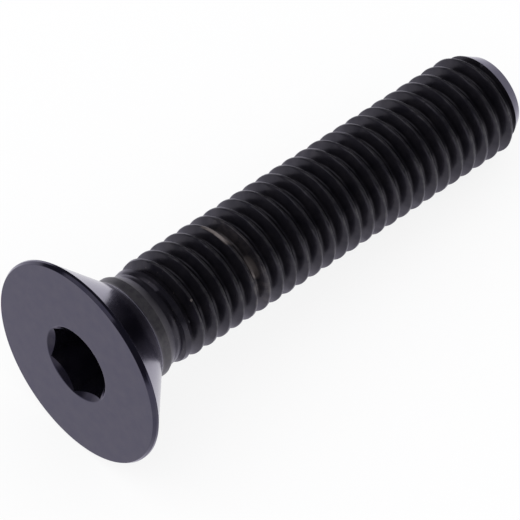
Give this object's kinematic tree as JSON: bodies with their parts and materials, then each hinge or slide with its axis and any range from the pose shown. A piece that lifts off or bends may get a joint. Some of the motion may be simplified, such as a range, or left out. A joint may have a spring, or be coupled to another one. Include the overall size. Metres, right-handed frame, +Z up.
{
  "type": "countersunk socket screw",
  "caption": "Countersunk screw with a hexagon socket, a 90 degree cone under a flat head, and a full length right-hand thread ending in a chamfered point.",
  "frame": {"origin": "centre of the footprint box, on the surface the screw lies on", "axes": "+X along the screw from its head to its point, level; the screw's own axis dips 5.92 degrees below +X, because it lies on the edge of its head and on its last full crest. +Z up."},
  "size_m": [0.0408, 0.0158, 0.0157],
  "materials": {
    "black_steel": "black oxide, satin, with brown residue in one groove"
  },
  "bodies": {
    "root": {"socket_screw": "black_steel"}
  },
  "joints": []
}
